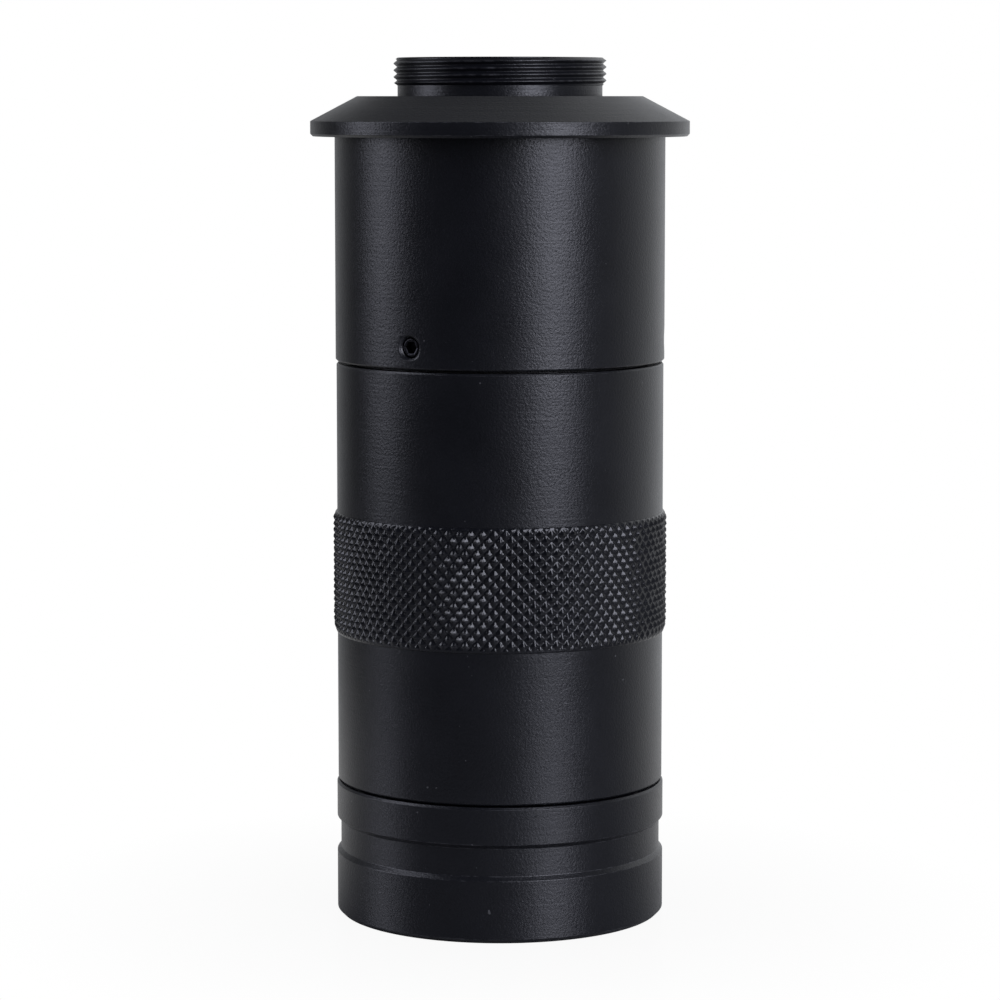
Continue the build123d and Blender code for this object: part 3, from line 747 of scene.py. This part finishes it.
class LENS_OT_sleeve(bpy.types.Operator):
    """Turn and knurl the zoom sleeve"""

    bl_idname = "zoom_lens.sleeve"
    bl_label = "Zoom sleeve"

    def execute(self, context):
        sizes = context.scene.lens_sleeve
        fine, margin = 8, 0.06 * MM
        bottom, top = low("zoom_sleeve"), high("zoom_sleeve")
        knurl_z = bottom + sizes.knurl_start
        knurl_top = knurl_z + sizes.knurl_height
        shoulder_top = top - sizes.recess_depth
        band_r, band_z, band_wear = knurl_surface(sizes, fine)
        columns = band_r.shape[1]
        angles = np.arange(columns) * TURN / columns
        bore_edge = sizes.bore_r + 0.1 * MM
        below = [
            (sizes.bore_r, bottom, 0.0),
            (sizes.radius - 0.15 * MM, bottom, 0.05 * MM),
            (sizes.radius, bottom + 0.2 * MM, sizes.edge),
            (sizes.radius, knurl_z - 0.05 * MM, 0.0),
        ]
        above = [
            (sizes.radius, knurl_top + 0.05 * MM, 0.0),
            (sizes.radius, top - 0.22 * MM, sizes.edge),
            (sizes.radius - 0.15 * MM, top, 0.03 * MM),
            (bore_edge, top, 0.0),
            (bore_edge, shoulder_top, 0.0),
            (sizes.shoulder_r, shoulder_top, 0.0),
            (sizes.shoulder_r, shoulder_top - sizes.shoulder_height, 0.0),
            (sizes.bore_r, shoulder_top - sizes.shoulder_height, 0.0),
        ]
        lower_r, lower_z, lower_wear = outline(below, 2)
        upper_r, upper_z, upper_wear = outline(above, 2)
        spread = np.ones(columns)
        radii = np.vstack([lower_r[:, None] * spread, band_r, upper_r[:, None] * spread])
        wear = np.vstack([lower_wear[:, None] * spread, band_wear, upper_wear[:, None] * spread])
        heights = np.concatenate([lower_z, knurl_z + band_z, upper_z])
        points = turned_points(radii, heights, angles)
        faces = loop_faces(len(heights), columns)
        row, column = faces[:, 0] // columns, faces[:, 0] % columns
        row = row - len(lower_z)
        band = (row >= 0) & (row < len(band_z) - 1)
        rising = (np.floor((column + row + 0.5) / (fine / 2)) % 2) == (
            np.floor((column - row - 0.5) / (fine / 2)) % 2
        )
        a, b, c, d = faces[band].T
        split = rising[band]
        first = np.where(split[:, None], np.stack([a, b, c], 1), np.stack([a, b, d], 1))
        second = np.where(split[:, None], np.stack([a, c, d], 1), np.stack([b, c, d], 1))
        faces = list(faces[~band]) + list(first) + list(second)
        piece = make_piece(
            "knurled_sleeve",
            points,
            faces,
            wear.ravel(),
            "zoom_ring",
            ["zoom_sleeve"],
            "black anodise",
        )
        piece.data.materials.append(bpy.data.materials["black anodise, rolled"])
        middles = np.empty(len(piece.data.polygons) * 3, np.float32)
        piece.data.polygons.foreach_get("center", middles)
        middle_x, middle_y, middle_z = middles.reshape(-1, 3).T
        knurled = (middle_z > knurl_z - margin) & (middle_z < knurl_top + margin)
        knurled &= np.hypot(middle_x, middle_y) > sizes.radius - sizes.crest
        piece.data.polygons.foreach_set("material_index", knurled.astype(np.int32))
        return {"FINISHED"}


class LENS_OT_ring(bpy.types.Operator):
    """Turn the bottom ring with its groove and the thread in its mouth"""

    bl_idname = "zoom_lens.ring"
    bl_label = "Bottom ring"

    def execute(self, context):
        sizes = context.scene.lens_ring
        columns, thread_steps = 360, 130
        runout, mouth_slope = 0.3 * MM, 0.8
        angles = np.arange(columns) * TURN / columns
        ring_r, top = outer_r("bottom_ring"), high("bottom_ring") - sizes.top_gap
        mouth_r = mount_size("lower_thread", "r_mm")
        groove_r = ring_r - sizes.groove_depth
        groove_top = sizes.groove_z + sizes.groove_width
        chamfer = sizes.foot_chamfer
        soft = 0.12 * MM
        corners = [
            (mouth_r + chamfer, 0.0, 0.05 * MM),
            (ring_r - chamfer, 0.0, 0.12 * MM),
            (ring_r, chamfer, 0.15 * MM),
            (ring_r, sizes.groove_z, soft),
            (groove_r, sizes.groove_z + sizes.shoulder, soft),
            (groove_r, groove_top - sizes.shoulder, soft),
            (ring_r, groove_top, soft),
            (ring_r, top - sizes.top_chamfer, 0.06 * MM),
            (ring_r - 0.8 * sizes.top_chamfer, top, 0.04 * MM),
            (sizes.bore_r, top, 0.1 * MM),
            (sizes.bore_r, sizes.mouth_depth + sizes.lip_height, 0.0),
            (sizes.lip_r, sizes.mouth_depth + sizes.lip_height, 0.0),
            (sizes.lip_r, sizes.mouth_depth, 0.1 * MM),
        ]
        plain_r, plain_z, plain_wear = outline(corners, 5)
        thread_rows = np.linspace(sizes.mouth_depth, chamfer, thread_steps)
        turns = angles[None, :]
        cut = thread_depth_at(thread_rows[:, None], turns, sizes.thread_pitch, sizes.thread_depth)
        to_floor = (sizes.mouth_depth - thread_rows)[:, None]
        fade = np.clip(to_floor / runout, 0, 1)
        thread_r = mouth_r + cut * fade
        mouth_limit = mouth_r + np.maximum(0, 2 * chamfer - thread_rows)[:, None] * mouth_slope
        thread_r = np.maximum(thread_r, np.minimum(mouth_limit, mouth_r + mouth_slope * chamfer))
        spread = np.ones(columns)
        radii = np.vstack([plain_r[:, None] * spread, thread_r])
        heights = np.concatenate([plain_z, thread_rows])
        thread_wear = 0.5 * np.clip(1 - cut / (0.2 * sizes.thread_depth), 0, 1)
        wear = np.vstack([plain_wear[:, None] * spread, thread_wear])
        make_piece(
            "grooved_ring",
            turned_points(radii, heights, angles),
            loop_faces(len(heights), columns),
            wear.ravel(),
            "barrel_body",
            ["bottom_ring"],
            "black anodise",
        )
        return {"FINISHED"}


class LENS_OT_finishes(bpy.types.Operator):
    """Make the finishes and put them on the inner pieces"""

    bl_idname = "zoom_lens.finishes"
    bl_label = "Finishes"

    def execute(self, context):
        looks = context.scene.lens_finish
        anodised("black anodise", looks.anodise, looks.roughness, looks)
        anodised("black anodise, turned", looks.anodise, looks.roughness, looks, lathe_lines=0.6)
        rolled = looks.knurl_roughness
        anodised("black anodise, rolled", looks.anodise, rolled, looks, lathe_lines=0.0, depth=0.35)
        finishes = {
            "black_anodised": bpy.data.materials["black anodise"],
            "black_inner": anodised("matt inner black", looks.inner, 0.6, looks, worn=False),
            "black_steel": steel("black oxide steel", (0.03, 0.03, 0.034), 0.35),
            "spring_steel": steel("blued spring steel", (0.03, 0.032, 0.04), 0.3),
            "brass": steel("turned brass", (0.72, 0.5, 0.2), 0.3),
            "white_plastic": plastic("white washer plastic", (0.8, 0.8, 0.77)),
            "crown_glass": coated_glass("crown glass", (0.93, 0.98, 0.97), (0.45, 0.75, 0.6)),
            "flint_glass": coated_glass("flint glass", (0.97, 0.97, 0.92), (0.6, 0.45, 0.8)),
        }
        slots = {part["node"]: part["material_slot"] for part in frame["record"]["subparts"]}
        for name, node in frame["nodes"].items():
            for material_slot in node.material_slots:
                material_slot.material = finishes[slots[name]]
        return {"FINISHED"}


def softbox(name, direction, radiance):
    """A tall cool lamp that points at the middle of the lens, from a direction in degrees to the right
    of the camera."""
    distance, height, target = 0.6, 0.32, 0.06
    size, tint = (0.29, 0.66), (0.96, 0.98, 1.14)
    lamp = bpy.data.lights.new(name, "AREA")
    lamp.shape = "RECTANGLE"
    lamp.size, lamp.size_y = size
    lamp.energy = radiance * math.pi * size[0] * size[1]
    lamp.color = tint
    thing = bpy.data.objects.new(name, lamp)
    turn = math.radians(direction)
    thing.location = (distance * math.sin(turn), -distance * math.cos(turn), height)
    aim = thing.location.copy()
    aim.z = height - target
    thing.rotation_euler = aim.to_track_quat("Z", "Y").to_euler()
    bpy.context.scene.collection.objects.link(thing)


def make_world(studio):
    """White where the camera looks straight at it. In reflections it is pale behind the lens, brighter
    to the right, and dark towards the front, as in a small studio."""
    world = bpy.data.worlds.new("studio")
    bpy.context.scene.world = world
    world.use_nodes = True
    tree = world.node_tree
    tree.nodes.clear()

    def add(kind, inputs=None, **settings):
        return add_node(tree, kind, inputs, **settings)

    def ramp(value, low_in, high_in, low_out, high_out, smooth=False):
        node = add("ShaderNodeMapRange", {0: value, 1: low_in, 2: high_in, 3: low_out, 4: high_out})
        node.interpolation_type = "SMOOTHSTEP" if smooth else "LINEAR"
        return node.outputs[0]

    def blend(factor, first, second):
        node = add("ShaderNodeMix", {0: factor, 2: first, 3: second})
        return node.outputs[0]

    def arithmetic(operation, first, second):
        return add("ShaderNodeMath", {0: first, 1: second}, operation=operation).outputs[0]

    direction = add("ShaderNodeSeparateXYZ", {0: add("ShaderNodeTexCoord").outputs["Generated"]})
    x, y, z = direction.outputs
    right = ramp(y, -0.3, 0.8, 0.08, studio.behind_right)
    left = ramp(y, 0.55, 1.0, 0.03, studio.behind_left)
    wall = blend(ramp(x, -0.12, 0.12, 0.0, 1.0, True), left, right)
    over_left = ramp(x, -0.3, 0.05, studio.above_left, studio.above)
    over_right = ramp(x, 0.05, 0.6, 0.0, studio.above_right)
    above = arithmetic("ADD", over_left, over_right)
    above = arithmetic("MULTIPLY", above, ramp(y, 0.25, 0.5, 0.1, 1.0, True))
    pale = blend(ramp(z, 0.25, 0.6, 0.0, 1.0, True), wall, above)
    rays = add("ShaderNodeLightPath")
    room = add("ShaderNodeBackground", {"Color": (0.95, 0.97, 1.0, 1.0), "Strength": pale})
    white = add("ShaderNodeBackground", {"Color": (1.0, 1.0, 1.0, 1.0), "Strength": 1.0})
    seen = arithmetic("MAXIMUM", rays.outputs["Is Camera Ray"], rays.outputs["Is Transmission Ray"])
    mixed = add("ShaderNodeMixShader", {0: seen, 1: room.outputs[0], 2: white.outputs[0]})
    output = add("ShaderNodeOutputWorld")
    tree.links.new(mixed.outputs[0], output.inputs["Surface"])


def make_floor(studio):
    """A round glossy pale table, white to the camera and fading into the backdrop, with a real shadow."""
    rings, columns = 24, 96
    radii = np.linspace(0, studio.floor_r, rings + 1)[1:]
    angles = np.arange(columns) * TURN / columns
    heights = np.full(rings, -0.00002)
    points = np.vstack([turned_points(radii, heights, angles), [[0, 0, heights[0]]]])
    faces = loop_faces(rings, columns).reshape(rings, columns, 4)[:-1].reshape(-1, 4)
    inner = np.arange(columns)
    fan = np.stack([np.full(columns, len(points) - 1), inner, (inner + 1) % columns], axis=1)
    mesh = bpy.data.meshes.new("table")
    mesh.from_pydata(points.tolist(), [], faces.tolist() + fan.tolist())
    floor = bpy.data.objects.new("table", mesh)
    bpy.context.scene.collection.objects.link(floor)
    shader = Shader("pale table")
    fine = shader.noise(2 * MM, 3.0)
    tone = shader.mix(fine, (0.33, 0.33, 0.33), (0.37, 0.37, 0.37))
    rough = shader.ramp(fine, 0.3, 0.7, 0.16, 0.22)
    pale = shader.add("ShaderNodeBsdfPrincipled", {"Base Color": tone, "Roughness": rough, "IOR": 1.45})
    glow = shader.add("ShaderNodeEmission", {"Color": (1.0, 1.0, 1.0, 1.0), "Strength": 1.0})
    reach = shader.add("ShaderNodeVectorMath", {0: shader.place}, operation="LENGTH").outputs["Value"]
    fade = shader.ramp(reach, 0.12 * studio.floor_r, 0.4 * studio.floor_r, 0.94, 1.0)
    rays = shader.add("ShaderNodeLightPath")
    behind = shader.add("ShaderNodeSeparateXYZ", {0: shader.place}).outputs[1]
    back = shader.ramp(behind, -0.01, 0.05, 0.0, studio.floor_glow)
    mirrored = shader.sum(rays.outputs["Is Glossy Ray"], back, "MULTIPLY")
    factor = shader.sum(shader.sum(fade, rays.outputs["Is Camera Ray"], "MULTIPLY"), mirrored)
    mixed = shader.add("ShaderNodeMixShader", {0: factor, 1: pale.outputs[0], 2: glow.outputs[0]})
    shader.tree.links.new(mixed.outputs[0], shader.output.inputs["Surface"])
    mesh.materials.append(shader.material)


class LENS_OT_studio(bpy.types.Operator):
    """Set up the camera, the lamps, the pale table and the backdrop"""

    bl_idname = "zoom_lens.studio"
    bl_label = "Studio"

    def execute(self, context):
        studio = context.scene.lens_studio
        data = bpy.data.cameras.new("camera")
        data.lens = studio.focal
        data.sensor_width = 36.0
        camera = bpy.data.objects.new("camera", data)
        camera.location = (studio.centre_x, -studio.distance, studio.height)
        camera.rotation_euler = (math.pi / 2 - studio.tilt, 0.0, 0.0)
        context.scene.collection.objects.link(camera)
        context.scene.camera = camera
        softbox("key softbox", 37, studio.key)
        softbox("side softbox", -88, studio.side)
        make_world(studio)
        make_floor(studio)
        context.scene.view_settings.view_transform = "Standard"
        return {"FINISHED"}


OPERATORS = (
    LENS_OT_finishes,
    LENS_OT_flange,
    LENS_OT_barrel,
    LENS_OT_screws,
    LENS_OT_sleeve,
    LENS_OT_ring,
    LENS_OT_studio,
)


class LENS_PT_panel(bpy.types.Panel):
    """Sidebar panel with the sizes and the steps"""

    bl_label = "Zoom lens"
    bl_idname = "LENS_PT_panel"
    bl_space_type = "VIEW_3D"
    bl_region_type = "UI"
    bl_category = "Zoom lens"

    def draw(self, context):
        for operator in OPERATORS:
            self.layout.operator(operator.bl_idname)
        for name, group in SETTINGS.items():
            box = self.layout.box()
            for key in group.__annotations__:
                box.prop(getattr(context.scene, name), key)


def register():
    """Make the settings, the operators and the panel known to Blender."""
    for name, group in SETTINGS.items():
        bpy.utils.register_class(group)
        setattr(bpy.types.Scene, name, bpy.props.PointerProperty(type=group))
    for kind in (*OPERATORS, LENS_PT_panel):
        bpy.utils.register_class(kind)


def unregister():
    """Take them out again."""
    for kind in (LENS_PT_panel, *reversed(OPERATORS)):
        bpy.utils.unregister_class(kind)
    for name, group in reversed(SETTINGS.items()):
        delattr(bpy.types.Scene, name)
        bpy.utils.unregister_class(group)


def main():
    """Build everything in order."""
    register()
    bpy.ops.zoom_lens.finishes()
    bpy.ops.zoom_lens.flange()
    bpy.ops.zoom_lens.barrel()
    bpy.ops.zoom_lens.screws()
    bpy.ops.zoom_lens.sleeve()
    bpy.ops.zoom_lens.ring()
    bpy.ops.zoom_lens.studio()


if __name__ == "__main__":
    main()
